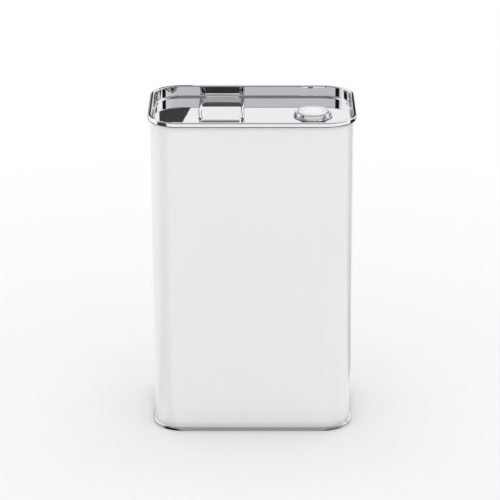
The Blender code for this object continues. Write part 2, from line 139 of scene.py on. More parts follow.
class TinClosureSizes(bpy.types.PropertyGroup):
    turn_steps: IntProperty(
        name="Turn Steps", description="Faces round a turned piece", default=96, min=16)
    neck_radius: length("Neck Radius", "Of the hole in the panel", 0.0130)
    neck_height: length("Neck Height", "Of the neck above the panel", 0.0022)
    neck_bead: length("Neck Bead", "How far the neck's rolled top stands out", 0.0005)
    collar_slant: tilt("Collar Slant", "Mean lean of the collar's side", 18.2)
    collar_lip: length("Collar Lip Radius", "Of the hole in the collar", 0.0124)
    guide_radius: length("Guide Radius", "Of the guide in the neck", 0.0127)
    guide_bore: length("Guide Bore", "Radius inside the guide", 0.0117)
    guide_flange: length("Guide Flange", "Thickness of the guide's flange", 0.0006)
    guide_lip_radius: length(
        "Guide Lip Radius", "Inside the lip that the spout slides through", 0.0097)
    guide_lip_top: length("Guide Lip", "Depth of the lip below the panel", 0.0070)
    guide_lip_thickness: length("Guide Lip Thickness", "Of the lip", 0.0015)
    spout_radius: length("Spout Radius", "Of the tube below its thread", 0.0094)
    spout_bore: length("Spout Bore", "Radius inside the tube", 0.0080)
    spout_foot: length("Spout Foot", "Thickness of the flange at the tube's foot", 0.0015)
    thread_radius: length("Thread Radius", "Over the thread", 0.0099)
    thread_pitch: length("Thread Pitch", "Rise of one turn", 0.0020)
    cap_bore: length("Cap Bore", "Radius inside the cap", 0.0102)
    cap_ceiling: length("Cap Ceiling", "Height of the inside of the cap above the panel", 0.0028)
    groove_floor: length("Groove Floor", "Height of the ring's groove above the panel", 0.0037)
    groove_outer: length("Groove Outer Radius", "Of the groove that the ring lies in", 0.0107)
    groove_inner: length("Groove Inner Radius", "Of the groove that the ring lies in", 0.0082)
    ring_width: length("Ring Width", "Of the pull ring's bar", 0.0019)


class TinColours(bpy.types.PropertyGroup):
    lacquer: colour("Lacquer", "White lacquer on the body", (0.84, 0.84, 0.84))
    tinplate: colour("Tinplate", "Bright ends, strap and collar", (0.90, 0.91, 0.93))
    plastic: colour("Plastic", "Spout, cap and ring", (0.95, 0.95, 0.95))
    rubber: colour("Sealing Rubber", "Compound, gasket and liner", (0.34, 0.35, 0.36))
    floor: colour("Floor", "The floor near the can", (0.92, 0.92, 0.92))


# Modelling steps shared by the pieces

def start_plane(name, location=(0.0, 0.0, 0.0), size=1.0):
    """A new plane, alone in edit mode and selected all over."""
    if bpy.context.mode != "OBJECT":
        bpy.ops.object.mode_set(mode="OBJECT")
    bpy.ops.object.select_all(action="DESELECT")
    bpy.ops.mesh.primitive_plane_add(size=size, location=(0.0, 0.0, 0.0))
    piece = bpy.context.active_object
    piece.name = name
    piece.data.name = name
    bpy.ops.object.mode_set(mode="EDIT")
    bpy.ops.mesh.select_all(action="SELECT")
    bpy.ops.transform.translate(value=location)
    return piece


def upright_plane(name, width, height, centre):
    """A plane that stands upright, alone in edit mode, with its middle at the centre."""
    piece = start_plane(name)
    bpy.ops.transform.rotate(value=math.radians(90.0), orient_axis="X",
                             center_override=(0.0, 0.0, 0.0))
    bpy.ops.transform.resize(value=(width, 1.0, height))
    move_by(centre)
    return piece


def pick(piece, kind, wanted):
    """Selects the faces, edges or vertices of the piece in edit mode for which wanted says yes."""
    bpy.ops.mesh.select_mode(type={"faces": "FACE", "edges": "EDGE", "verts": "VERT"}[kind])
    bpy.ops.mesh.select_all(action="DESELECT")
    edit = bmesh.from_edit_mesh(piece.data)
    for item in getattr(edit, kind):
        if wanted(item):
            item.select_set(True)
    edit.select_flush_mode()
    bmesh.update_edit_mesh(piece.data)


def middle_of(item):
    """Middle of a face or an edge."""
    points = [vert.co for vert in item.verts]
    return sum(points, Vector()) / len(points)


def move_by(value):
    bpy.ops.transform.translate(value=value)


def extrude_by(value):
    bpy.ops.mesh.extrude_region_move(TRANSFORM_OT_translate={"value": value})


def facing(piece):
    """1 if the selected face looks up and -1 if it looks down."""
    edit = bmesh.from_edit_mesh(piece.data)
    face = next(item for item in edit.faces if item.select)
    return 1.0 if face.normal.z > 0 else -1.0


def follow(piece, profile):
    """Carries the selected face from point to point of a profile of (inset, height)."""
    for (inset_0, height_0), (inset_1, height_1) in zip(profile, profile[1:]):
        inward = inset_1 - inset_0
        rise = height_1 - height_0
        if abs(inward) < NO_STEP:
            extrude_by((0.0, 0.0, rise))
        else:
            bpy.ops.mesh.inset(thickness=inward, depth=rise * facing(piece), use_boundary=True,
                               use_even_offset=True)


def arc(centre, radius, start, end, segments=5):
    """Points of an arc in a profile; the angles are in degrees."""
    points = []
    for step in range(segments + 1):
        angle = math.radians(start + (end - start) * step / segments)
        points.append((centre[0] + radius * math.cos(angle), centre[1] + radius * math.sin(angle)))
    return points


def rounded_plane(name, can, inset, height):
    """A plane with the can's rounded outline, drawn in by the inset."""
    piece = start_plane(name)
    bpy.ops.transform.resize(value=(can.width - 2 * inset, can.depth - 2 * inset, 1.0))
    move_by((0.0, 0.0, height))
    bpy.ops.mesh.bevel(offset=can.corner_radius - inset, segments=can.corner_segments,
                       affect="VERTICES", profile=0.5)
    bpy.ops.mesh.select_mode(type="FACE")
    bpy.ops.mesh.select_all(action="SELECT")
    return piece


def tidy_normals():
    """Merges the doubles of the piece in edit mode and turns its faces outwards."""
    bpy.ops.mesh.select_mode(type="FACE")
    bpy.ops.mesh.select_all(action="SELECT")
    bpy.ops.mesh.remove_doubles(threshold=MERGE_DISTANCE)
    bpy.ops.mesh.normals_make_consistent(inside=False)


def panel_top(can):
    """Height of the top panel, which the strap and the closure stand on."""
    return CAN_TOP - can.recess


def leave_edit(piece):
    bpy.ops.object.mode_set(mode="OBJECT")
    bpy.ops.object.select_all(action="DESELECT")
    piece.select_set(True)
    bpy.context.view_layer.objects.active = piece


def add_and_apply(piece, kind, **settings):
    """Adds a modifier to the piece in object mode and applies it."""
    bpy.context.view_layer.objects.active = piece
    step = piece.modifiers.new(kind.title(), kind)
    for word, value in settings.items():
        setattr(step, word, value)
    bpy.ops.object.modifier_apply(modifier=step.name)


def thicken(piece, thickness, offset=-1.0):
    add_and_apply(piece, "SOLIDIFY", thickness=thickness, offset=offset, use_even_offset=True,
                  use_quality_normals=True)


def smooth(piece, angle=35.0):
    leave_edit(piece)
    bpy.ops.object.shade_smooth_by_angle(angle=math.radians(angle))


def join_into(piece, *others):
    """Joins other meshes into the piece, which keeps its name."""
    bpy.ops.object.select_all(action="DESELECT")
    for other in others:
        other.select_set(True)
    piece.select_set(True)
    bpy.context.view_layer.objects.active = piece
    bpy.ops.object.join()


def combine(piece, other, operation):
    """Cuts or joins the piece with another solid, which is deleted, and clears the slivers."""
    leave_edit(piece)
    add_and_apply(piece, "BOOLEAN", operation=operation, solver="EXACT", object=other)
    bpy.data.objects.remove(other, do_unlink=True)
    bpy.ops.object.mode_set(mode="EDIT")
    bpy.ops.mesh.select_all(action="SELECT")
    bpy.ops.mesh.dissolve_degenerate(threshold=SAME_PLACE)
    bpy.ops.object.mode_set(mode="OBJECT")


def turned(name, profile, steps, closed=True):
    """Extrudes a point along a profile of (radius, height) and spins it about the closure's axis."""
    x, y = CLOSURE_AXIS.xy
    piece = start_plane(name, (x + profile[0][0], y, profile[0][1]), size=0.001)
    bpy.ops.mesh.merge(type="CENTER")
    bpy.ops.mesh.select_mode(type="VERT")
    bpy.ops.mesh.select_all(action="SELECT")
    for (radius_0, height_0), (radius_1, height_1) in zip(profile, profile[1:]):
        extrude_by((radius_1 - radius_0, 0.0, height_1 - height_0))
    if closed:
        extrude_by((profile[0][0] - profile[-1][0], 0.0, profile[0][1] - profile[-1][1]))
    bpy.ops.mesh.select_all(action="SELECT")
    bpy.ops.mesh.remove_doubles(threshold=SAME_PLACE)
    bpy.ops.mesh.spin(steps=steps, angle=math.tau, center=(x, y, 0.0), axis=(0.0, 0.0, 1.0),
                      dupli=False)
    tidy_normals()
    leave_edit(piece)
    return piece


def dress(piece, body, slot_name, finish, *nodes):
    """Gives the piece its finish and its body, and hides the frame's nodes that it stands for; its
    slot name is not used.
    """
    if finish:
        piece.data.materials.clear()
        piece.data.materials.append(finish)
    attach(piece, body)
    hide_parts(*nodes)


# Finishes

class Finish:
    """A material whose nodes are added one after the other."""

    def __init__(self, name):
        self.material = bpy.data.materials.new(name)
        self.material.use_nodes = True
        self.tree = self.material.node_tree
        self.shader = self.tree.nodes["Principled BSDF"]
        self.column = -300

    def node(self, kind, **settings):
        """A new node; a setting that starts with in_ is the value of that input."""
        made = self.tree.nodes.new(kind)
        made.location = (self.column, 0)
        self.column -= 180
        for word, value in settings.items():
            if word.startswith("in_"):
                made.inputs[word.removeprefix("in_")].default_value = value
            else:
                setattr(made, word, value)
        return made

    def link(self, source, target):
        """Links a socket to the target, or gives the target a plain value."""
        if isinstance(source, bpy.types.NodeSocket):
            self.tree.links.new(source, target)
        else:
            target.default_value = source

    def feed(self, name, source):
        """Links a socket to one of the shader's inputs, or gives that a plain value."""
        self.link(source, self.shader.inputs[name])

    def place(self, scale):
        """Object coordinates, stretched by the scale."""
        where = self.node("ShaderNodeTexCoord")
        stretch = self.node("ShaderNodeMapping", in_Scale=scale)
        self.link(where.outputs["Object"], stretch.inputs["Vector"])
        return stretch.outputs["Vector"]

    def noise(self, scale, detail=3.0, stretch=(1.0, 1.0, 1.0), rough=0.5):
        made = self.node("ShaderNodeTexNoise", in_Scale=scale, in_Detail=detail,
                         in_Roughness=rough)
        self.link(self.place(stretch), made.inputs["Vector"])
        return made.outputs["Fac"]

    def ramp(self, value, *stops):
        made = self.node("ShaderNodeValToRGB")
        band = made.color_ramp
        while len(band.elements) > 1:
            band.elements.remove(band.elements[-1])
        band.elements[0].position = stops[0][0]
        band.elements[0].color = shade(stops[0][1])
        for place, tone in stops[1:]:
            band.elements.new(place).color = shade(tone)
        self.link(value, made.inputs["Fac"])
        return made.outputs["Color"]

    def maths(self, operation, first, second=None, third=None, clamp=False):
        made = self.node("ShaderNodeMath", operation=operation, use_clamp=clamp)
        for index, value in enumerate((first, second, third)):
            if value is not None:
                self.link(value, made.inputs[index])
        return made.outputs["Value"]

    def mix(self, share, first, second, operation="MIX"):
        """Two colours or grey levels, mixed by the share."""
        made = self.node("ShaderNodeMix", data_type="RGBA", blend_type=operation)
        self.link(share, made.inputs[0])
        for value, target in ((first, made.inputs[6]), (second, made.inputs[7])):
            self.link(value if isinstance(value, bpy.types.NodeSocket) else shade(value), target)
        return made.outputs[2]

    def blend(self, share, first, second):
        """Two shaders, mixed by the share."""
        made = self.node("ShaderNodeMixShader")
        for source, target in zip((share, first, second), made.inputs):
            self.link(source, target)
        return made.outputs[0]

    def bump(self, height, strength, distance, normal=None):
        made = self.node("ShaderNodeBump", in_Strength=strength, in_Distance=distance)
        self.link(height, made.inputs["Height"])
        if normal:
            self.link(normal, made.inputs["Normal"])
        return made.outputs["Normal"]


def shade(tone):
    """A colour with its alpha, from a grey level or three values."""
    if isinstance(tone, (int, float)):
        return (tone, tone, tone, 1.0)
    return (tone[0], tone[1], tone[2], 1.0)


def white_lacquer(colours):
    """Roller-coated enamel: faint orange peel, a little cloudiness, a clear gloss."""
    finish = Finish("lacquer_finish")
    base = Vector(colours.lacquer)
    cloud = finish.noise(9.0, 2.0)
    finish.feed("Base Color", finish.ramp(cloud, (0.35, base * 0.985), (0.65, base)))
    sweep = finish.noise(60.0, 3.0, (1.0, 1.0, 0.25))
    finish.feed("Roughness", finish.ramp(sweep, (0.3, 0.30), (0.7, 0.36)))
    peel = finish.noise(1400.0, 2.0)
    finish.feed("Normal", finish.bump(peel, 0.06, 0.0002))
    finish.feed("Coat Weight", 0.6)
    finish.feed("Coat Roughness", 0.08)
    finish.feed("Coat IOR", 1.6)
    return finish.material


def bright_tinplate(colours, name="tinplate_finish", grain=(1.0, 14.0, 14.0)):
    """Rolled tin: mirror bright, with a fine rolling grain and slight waviness."""
    finish = Finish(name)
    base = Vector(colours.tinplate)
    finish.feed("Metallic", 1.0)
    spangle = finish.noise(240.0, 4.0, grain)
    finish.feed("Base Color", finish.ramp(spangle, (0.3, base * 0.965), (0.7, base)))
    rub = finish.noise(90.0, 5.0, grain, 0.6)
    finish.feed("Roughness", finish.ramp(rub, (0.35, 0.016), (0.75, 0.032)))
    waves = finish.noise(28.0, 1.0)
    hairs = finish.noise(900.0, 2.0, grain)
    rolled = finish.bump(waves, 0.05, 0.0006)
    finish.feed("Normal", finish.bump(hairs, 0.002, 0.0001, rolled))
    return finish.material


def bare_weld(colours):
    """The unlacquered side seam: dull tin with a blue-grey weld down its middle."""
    finish = Finish("side_seam_weld")
    base = Vector(colours.tinplate)
    finish.feed("Metallic", 1.0)
    where = finish.node("ShaderNodeTexCoord")
    split = finish.node("ShaderNodeSeparateXYZ")
    finish.link(where.outputs["Object"], split.inputs[0])
    across = finish.maths("ABSOLUTE", split.outputs["X"])
    line = finish.maths("MULTIPLY", across, 1000.0)
    ripple = finish.noise(1500.0, 1.0, (0.1, 0.1, 1.0))
    line = finish.maths("ADD", line, finish.maths("MULTIPLY", ripple, 0.4))
    tone = finish.ramp(line, (0.0, base * 0.42), (0.55, base * 0.50), (0.75, base * 0.86),
                       (1.0, base * 0.92))
    finish.feed("Base Color", tone)
    finish.feed("Roughness", finish.ramp(line, (0.0, 0.42), (0.8, 0.24)))
    finish.feed("Normal", finish.bump(ripple, 0.25, 0.0002))
    return finish.material


def white_plastic(colours):
    """Moulded polythene: soft sheen, faint flow marks and a slightly waxy depth."""
    finish = Finish("plastic_finish")
    base = Vector(colours.plastic)
    flow = finish.noise(320.0, 3.0)
    finish.feed("Base Color", finish.ramp(flow, (0.3, base * 0.975), (0.7, base)))
    finish.feed("Roughness", finish.ramp(flow, (0.3, 0.30), (0.7, 0.40)))
    finish.feed("Subsurface Weight", 0.10)
    finish.feed("Subsurface Radius", (0.001, 0.001, 0.001))
    grain = finish.noise(2600.0, 2.0)
    finish.feed("Normal", finish.bump(grain, 0.08, 0.0001))
    return finish.material


def sealing_rubber(colours):
    """Sealing compound and liner foam: matt grey with fine pores."""
    finish = Finish("rubber_finish")
    base = Vector(colours.rubber)
    pores = finish.noise(1800.0, 4.0)
    finish.feed("Base Color", finish.ramp(pores, (0.35, base * 0.80), (0.65, base)))
    finish.feed("Roughness", finish.ramp(pores, (0.3, 0.62), (0.7, 0.80)))
    finish.feed("Normal", finish.bump(pores, 0.3, 0.0002))
    return finish.material


def finish_named(name, maker, *extra):
    """The finish of that name, made when a piece first asks for it."""
    return bpy.data.materials.get(name) or maker(bpy.context.scene.tin_colours, *extra)


# Pieces

def fold_rounding(can, seam):
    """Rounding of a seam's fold, less for a lower seam."""
    return can.fold_radius * seam / can.top_seam


def seam_profile(can, seam):
    """Outer side of a seam, from the foot of its face up to its crest."""
    radius = can.crest_radius
    return [(0.0, fold_rounding(can, seam) - seam), (0.0, -radius * SUPPORT_SHARE)] + arc(
        (radius, -radius), radius, 180.0, 90.0, ROUNDING_STEPS)


def recess_profile(can, depth):
    """From a seam's crest down the wall inside it to the panel."""
    radius, fillet, wall = can.crest_radius, can.panel_fillet, can.seam_width
    support = radius * SUPPORT_SHARE
    points = [(support, 0.0), (wall - support, 0.0)]
    points += arc((wall - radius, -radius), radius, 90.0, 0.0, ROUNDING_STEPS)
    points += [(wall, -support), (wall, fillet * WALL_SUPPORT_SHARE - depth)]
    points += arc((wall + fillet, fillet - depth), fillet, 180.0, 270.0, ROUNDING_STEPS)
    return points + [(wall + fillet * SUPPORT_SHARE, -depth)]


def fold_profile(can, seam):
    """A seam's fold, from its outer face in to the body."""
    radius = fold_rounding(can, seam)
    points = arc((radius, radius - seam), radius, 180.0, 270.0, ROUNDING_STEPS)
    return points + [(can.seam_reach - can.sheet / 2, -seam)]


def make_end(name, can, side, crest, seam, extra, depth):
    """One end of the can with its half of the double seam."""
    path, fold = [
        [(inset + extra, crest + side * height) for inset, height in profile]
        for profile in (seam_profile(can, seam) + recess_profile(can, depth),
                        fold_profile(can, seam))]
    piece = rounded_plane(name, can, *path[0])
    follow(piece, path)
    tidy_normals()
    pick(piece, "faces", lambda face: all(
        abs(vert.co.z - path[0][1]) < SAME_PLACE for vert in face.verts))
    follow(piece, fold)
    bpy.ops.mesh.delete(type="FACE")
    tidy_normals()
    leave_edit(piece)
    thicken(piece, can.sheet)
    return piece


class TIN_OT_body(bpy.types.Operator):
    """Makes the lacquered body with its neck-in and its welded side seam"""
    bl_idname = "tin.body"
    bl_label = "Body"

    def execute(self, context):
        can = context.scene.tin_can
        reach = can.seam_reach
        top = CAN_TOP - can.top_seam / 2
        drawn = reach + can.neck_in
        body = rounded_plane("lacquered_body", can, reach, top)
        bend, bend_steps = [], 10
        for step in range(bend_steps + 1):
            share = step / bend_steps
            eased = share * share * (3 - 2 * share)
            bend.append((reach + can.neck_in * eased,
                         can.neck_in_start + (can.neck_in_end - can.neck_in_start) * share))
        follow(body, [
            (reach, top), (reach, CAN_TOP - 2 * can.top_seam), (reach, can.neck_in_start * 2),
            *bend, (drawn, can.bottom_seam / 2)])
        pick(body, "faces", lambda face: len(face.verts) > 4)
        bpy.ops.mesh.delete(type="FACE")
        tidy_normals()
        leave_edit(body)
        thicken(body, can.sheet)
        lacquer = finish_named("lacquer_finish", white_lacquer)
        body.data.materials.append(lacquer)
        self.add_lap(can, body)
        smooth(body)
        dress(body, "can", "white_lacquer", None, "body_wall")
        return {"FINISHED"}

    def add_lap(self, can, body):
        """The lap stands a little proud of the middle of the back."""
        low = can.neck_in_start + can.lap_width
        high = CAN_TOP - can.top_seam - can.lap_width
        face = can.depth / 2 - can.seam_reach
        lap = upright_plane("side_seam_lap", can.lap_width, high - low,
                            (0.0, face - can.sheet / 4, (low + high) / 2))
        extrude_by((0.0, can.lap_proud + can.sheet / 4, 0.0))
        bpy.ops.mesh.select_mode(type="FACE")
        bpy.ops.mesh.bevel(offset=can.lap_proud * 0.6, segments=2, affect="EDGES")
        pick(lap, "edges", lambda edge: edge.is_boundary)
        bpy.ops.mesh.edge_face_add()
        tidy_normals()
        leave_edit(lap)
        lap.data.materials.append(finish_named("side_seam_weld", bare_weld))
        join_into(body, lap)


class TIN_OT_top_end(bpy.types.Operator):
    """Makes the recessed top with its seam and the spout's neck"""
    bl_idname = "tin.top_end"
    bl_label = "Top End"

    def execute(self, context):
        can = context.scene.tin_can
        closure = context.scene.tin_closure
        panel = panel_top(can)
        top = make_end("recessed_top", can, 1, CAN_TOP, can.top_seam, 0.0, can.recess)
        inner = closure.neck_radius
        outer = inner + can.sheet
        hole_radius, overrun = inner + can.sheet / 2, can.sheet * 4
        hole = turned("neck_hole", [
            (0.0, panel + overrun), (hole_radius, panel + overrun), (hole_radius, panel - overrun),
            (0.0, panel - overrun)], closure.turn_steps, closed=False)
        combine(top, hole, "DIFFERENCE")
        bead = outer + closure.neck_bead
        brim = panel + closure.neck_height
        neck = turned("drawn_neck", [
            (inner, panel - can.sheet), (inner, brim - can.sheet), (inner + can.sheet / 4, brim),
            (bead - can.sheet / 2, brim), (bead, brim - can.sheet / 2),
            (bead, brim - can.sheet), (outer, brim - can.sheet * 3),
            (outer, panel + can.sheet * 0.6), (outer + can.sheet * 0.5, panel + MERGE_DISTANCE),
            (outer + can.sheet * 0.5, panel - can.sheet)], closure.turn_steps)
        join_into(top, neck)
        smooth(top)
        dress(top, "can", "bright_tinplate", finish_named("tinplate_finish", bright_tinplate),
              "top_end")
        return {"FINISHED"}


class TIN_OT_bottom_end(bpy.types.Operator):
    """Makes the countersunk bottom with its seam"""
    bl_idname = "tin.bottom_end"
    bl_label = "Bottom End"

    def execute(self, context):
        can = context.scene.tin_can
        base = make_end("countersunk_bottom", can, -1, 0.0, can.bottom_seam, can.neck_in,
                        can.countersink)
        smooth(base)
        dress(base, "can", "bright_tinplate", finish_named("tinplate_finish", bright_tinplate),
              "bottom_end")
        return {"FINISHED"}


def strap_line(strap):
    """Middle of the strap's sheet from front to back, as (along, height), with round bends."""
    half = (STRAP_HIGH.y - STRAP_LOW.y) / 2
    slope = [(half - strap.shoulder, strap.shoulder_height),
             (half - strap.foot, strap.foot_height), (half, strap.foot_height)]
    crest = [(along - strap.crest_shift, strap.crest_height - dip) for along, dip in (
        (-strap.crest_length / 2, strap.crest_dip), (0.0, 0.0),
        (strap.crest_length / 2, strap.crest_dip))]
    corners = [Vector(p) for p in [(-a, h) for a, h in reversed(slope)] + crest + slope]
    line = [corners[0]]
    bend_steps = 4
    for before, here, after in zip(corners, corners[1:], corners[2:]):
        reach = min(strap.bend_radius, (here - before).length / 2, (after - here).length / 2)
        start = here + (before - here).normalized() * reach
        end = here + (after - here).normalized() * reach
        for step in range(bend_steps + 1):
            share = step / bend_steps
            line.append(start.lerp(here, share).lerp(here.lerp(end, share), share))
    line.append(corners[-1])
    return line


class TIN_OT_strap(bpy.types.Operator):
    """Makes the carrying strap with its rolled edges and welded tongues"""
    bl_idname = "tin.strap"
    bl_label = "Strap"

    def execute(self, context):
        sizes = context.scene.tin_strap
        can = context.scene.tin_can
        panel = panel_top(can)
        centre_x = (STRAP_LOW.x + STRAP_HIGH.x) / 2
        line = strap_line(sizes)
        half = line[-1].x
        tongue_start = half - sizes.tongue_length
        edge = sizes.plate_width / 2
        strap = start_plane("carrying_strap")
        pick(strap, "verts", lambda vert: vert.co.y > 0)
        bpy.ops.mesh.delete(type="VERT")
        bpy.ops.mesh.select_all(action="SELECT")
        bpy.ops.transform.resize(value=(sizes.plate_width, 1.0, 1.0))
        move_by((centre_x, line[0].x + 0.5, panel + line[0].y))
        for x in (centre_x - sizes.tongue_width / 2, centre_x + sizes.tongue_width / 2):
            bpy.ops.mesh.select_all(action="SELECT")
            bpy.ops.mesh.bisect(plane_co=(x, 0.0, 0.0), plane_no=(1.0, 0.0, 0.0))
        bpy.ops.mesh.select_mode(type="EDGE")
        bpy.ops.mesh.select_all(action="SELECT")
        roll_end = sizes.roll_length / 2
        stops = line
        for along in (-tongue_start, -roll_end, roll_end, tongue_start):
            stops = self.with_stop(stops, along)
        for here, after in zip(stops, stops[1:]):
            extrude_by((0.0, after.x - here.x, after.y - here.y))
        pick(strap, "faces", lambda face: abs(middle_of(face).y) > tongue_start
             and abs(middle_of(face).x - centre_x) > sizes.tongue_width / 2)
        bpy.ops.mesh.delete(type="FACE")
        self.round_tongues(strap, centre_x, half, sizes)
        for side in (-1, 1):
            self.roll_edge(strap, centre_x, side, edge, roll_end, sizes)
        tidy_normals()
        leave_edit(strap)
        thicken(strap, sizes.sheet, 0.0)
        add_and_apply(strap, "BEVEL", width=sizes.sheet / 5, segments=2, limit_method="ANGLE",
                      angle_limit=math.radians(60.0), harden_normals=False)
        smooth(strap, 40.0)
        dress(strap, "can", "bright_tinplate",
              finish_named("strap_tinplate", bright_tinplate, "strap_tinplate", (14.0, 1.0, 14.0)),
              "handle_strap")
        return {"FINISHED"}

    def with_stop(self, line, along):
        """The line with one more point where it passes a place along its length."""
        for index, (here, after) in enumerate(zip(line, line[1:])):
            gap = min(along - here.x, after.x - along)
            if here.x < along < after.x and gap > MERGE_DISTANCE:
                share = (along - here.x) / (after.x - here.x)
                return line[:index + 1] + [here.lerp(after, share)] + line[index + 1:]
        return line

    def round_tongues(self, strap, centre_x, half, sizes):
        """Rounds the corners of the two welded ends."""
        pick(strap, "verts", lambda vert: abs(abs(vert.co.y) - half) < SAME_PLACE
             and abs(abs(vert.co.x - centre_x) - sizes.tongue_width / 2) < SAME_PLACE)
        bpy.ops.mesh.bevel(offset=sizes.foot * 0.4, segments=6, affect="VERTICES")

    def roll_edge(self, strap, centre_x, side, edge, roll_end, sizes):
        """Rolls one long edge of the plate over into a tube."""
        middle = sizes.roll_radius - sizes.sheet / 2
        pick(strap, "edges", lambda item: all(
            abs(vert.co.x - centre_x - side * edge) < SAME_PLACE
            and abs(vert.co.y) < roll_end + MERGE_DISTANCE for vert in item.verts))
        centre = edge + sizes.roll_radius - sizes.sheet * 0.1
        rise = (edge + middle * 0.28, middle * 0.16)
        path = [(edge, 0.0), rise] + arc((centre, 0.0), middle, 140.0, -160.0, 12)
        for (x_0, z_0), (x_1, z_1) in zip(path, path[1:]):
            extrude_by((side * (x_1 - x_0), 0.0, z_1 - z_0))


class TIN_OT_collar(bpy.types.Operator):
    """Makes the tin collar that is crimped over the neck"""
    bl_idname = "tin.collar"
    bl_label = "Collar"

    def execute(self, context):
        can = context.scene.tin_can
        closure = context.scene.tin_closure
        sheet = can.sheet
        foot, top = COLLAR_LOW.z, COLLAR_HIGH.z
        base = (COLLAR_HIGH.x - COLLAR_LOW.x) / 2
        lip = closure.collar_lip
        ease = sheet * 0.6
        side = [(base, foot + sheet * 0.5), (base - sheet * 0.03, foot + sheet * 0.6)]
        side_steps = 6
        rise = (top - ease - foot - sheet * 0.6) / side_steps
        for step in range(side_steps):
            lean = closure.collar_slant + math.radians(step - (side_steps - 1) / 2)
            side.append((side[-1][0] - rise * math.tan(lean), side[-1][1] + rise))
        upper = side[-1][0]
        round_top = arc((upper - ease, top - ease), ease, 90.0, 15.0, 8)
        profile = [(lip + sheet / 2, top)] + round_top + side[::-1] + [
            (base - sheet * 0.2, foot + sheet * 0.1),
            (base - sheet / 2, foot), (base - sheet * 2.2, foot), (base - sheet * 2.2, foot + sheet),
            (base - sheet * 1.4, foot + sheet), (base - sheet * 1.8, foot + sheet * 2.4),
            (upper - sheet, top - sheet * 3), (upper - sheet * 2.2, top - sheet),
            (lip + sheet / 2, top - sheet), (lip + sheet * 0.1, top - sheet * 0.8),
            (lip, top - sheet / 2), (lip + sheet * 0.1, top - sheet * 0.2)]
        collar = turned("crimped_collar", profile, closure.turn_steps)
        smooth(collar, 50.0)
        dress(collar, "can", "bright_tinplate",
              finish_named("collar_tinplate", bright_tinplate, "collar_tinplate", (1.0, 1.0, 1.0)),
              "spout_collar")
        return {"FINISHED"}


class TIN_OT_spout(bpy.types.Operator):
    """Makes the guide in the neck and the threaded spout that slides in it"""
    bl_idname = "tin.spout"
    bl_label = "Guide and Spout"

    def execute(self, context):
        can = context.scene.tin_can
        closure = context.scene.tin_closure
        plastic = finish_named("plastic_finish", white_plastic)
        self.make_guide(can, closure, plastic)
        self.make_tube(can, closure, plastic)
        return {"FINISHED"}

    def make_guide(self, can, closure, plastic):
        """The flange on the neck, the sleeve in it and the lip that the spout slides through."""
        flange = (GUIDE_HIGH.x - GUIDE_LOW.x) / 2
        radius, bore, lip = closure.guide_radius, closure.guide_bore, closure.guide_lip_radius
        lip_top = panel_top(can) - closure.guide_lip_top
        lip_foot = lip_top - closure.guide_lip_thickness
        top, foot = GUIDE_HIGH.z, GUIDE_LOW.z
        ease = can.sheet / 2
        guide = turned("spout_liner_guide", [
            (bore + ease, top), (flange - ease, top), (flange, top - ease / 2),
            (flange, top - closure.guide_flange), (radius, top - closure.guide_flange),
            (radius, foot + ease), (radius - ease, foot), (bore + ease, foot), (bore, foot + ease),
            (bore, lip_foot), (lip + ease, lip_foot), (lip, lip_foot + ease), (lip, lip_top - ease),
            (lip + ease, lip_top), (bore, lip_top), (bore, top - ease)], closure.turn_steps)
        smooth(guide)
        dress(guide, "can", "white_plastic", plastic, "spout_guide")

    def make_tube(self, can, closure, plastic):
        """The pouring tube with its thread and the flange at its foot."""
        ease = can.sheet / 2
        outer, inner = closure.spout_radius, closure.spout_bore
        rim, low = TUBE_HIGH.z, TUBE_LOW.z
        wide = (TUBE_HIGH.x - TUBE_LOW.x) / 2
        step = low + closure.spout_foot
        wall = outer - inner
        tube = turned("pouring_spout", [
            (inner + wall * 0.45, rim), (inner + wall * 0.75, rim - wall * 0.06),
            (outer - wall * 0.05, rim - wall * 0.22), (outer, rim - wall * 0.4),
            (outer, step + ease * 2), (outer + ease * 2, step), (wide - ease, step),
            (wide, step - ease), (wide, low + ease), (wide - ease, low), (inner + ease, low),
            (inner, low + ease), (inner, rim - wall), (inner + wall * 0.12, rim - wall * 0.3)],
            closure.turn_steps)
        combine(tube, self.thread(closure, rim), "UNION")
        smooth(tube, 50.0)
        dress(tube, "spout", "white_plastic", plastic, "spout_tube")

    def thread(self, closure, rim):
        """A ridge wound twice round the spout, extruded a little at a time and faded at its ends."""
        steps = closure.turn_steps
        proud = closure.thread_radius
        sunk = 0.0003
        root = closure.spout_radius - sunk
        start = rim - closure.thread_pitch * 2.9
        half = closure.thread_pitch * 0.26
        section = [(root, -half), (proud, -half * 0.35), (proud, half * 0.35), (root, half)]
        turns = 1.9
        total = int(steps * turns)
        fade_steps = 8

        def spot(corner, index):
            """Where a corner of the ridge's section lies after so many steps."""
            radius, height = section[corner]
            fade = min(1.0, index / fade_steps, (total - index) / fade_steps)
            radius = root + (radius - root) * fade
            angle = math.tau * index / steps
            rise = closure.thread_pitch * index / steps
            return Vector((CLOSURE_AXIS.x + radius * math.cos(angle),
                           CLOSURE_AXIS.y + radius * math.sin(angle), start + height + rise))

        ridge = start_plane("spout_thread")
        edit = bmesh.from_edit_mesh(ridge.data)
        for corner, vert in enumerate(sorted(
                edit.verts, key=lambda vert: math.atan2(vert.co.y, vert.co.x))):
            vert.co = spot(corner, 0)
        bmesh.update_edit_mesh(ridge.data)
        for index in range(1, total + 1):
            extrude_by((0.0, 0.0, 0.0))
            edit = bmesh.from_edit_mesh(ridge.data)
            before = [spot(corner, index - 1) for corner in range(4)]
            for vert in [vert for vert in edit.verts if vert.select]:
                corner = min(range(4), key=lambda near: (before[near] - vert.co).length)
                vert.co = spot(corner, index)
            bmesh.update_edit_mesh(ridge.data)
        tidy_normals()
        leave_edit(ridge)
        return ridge


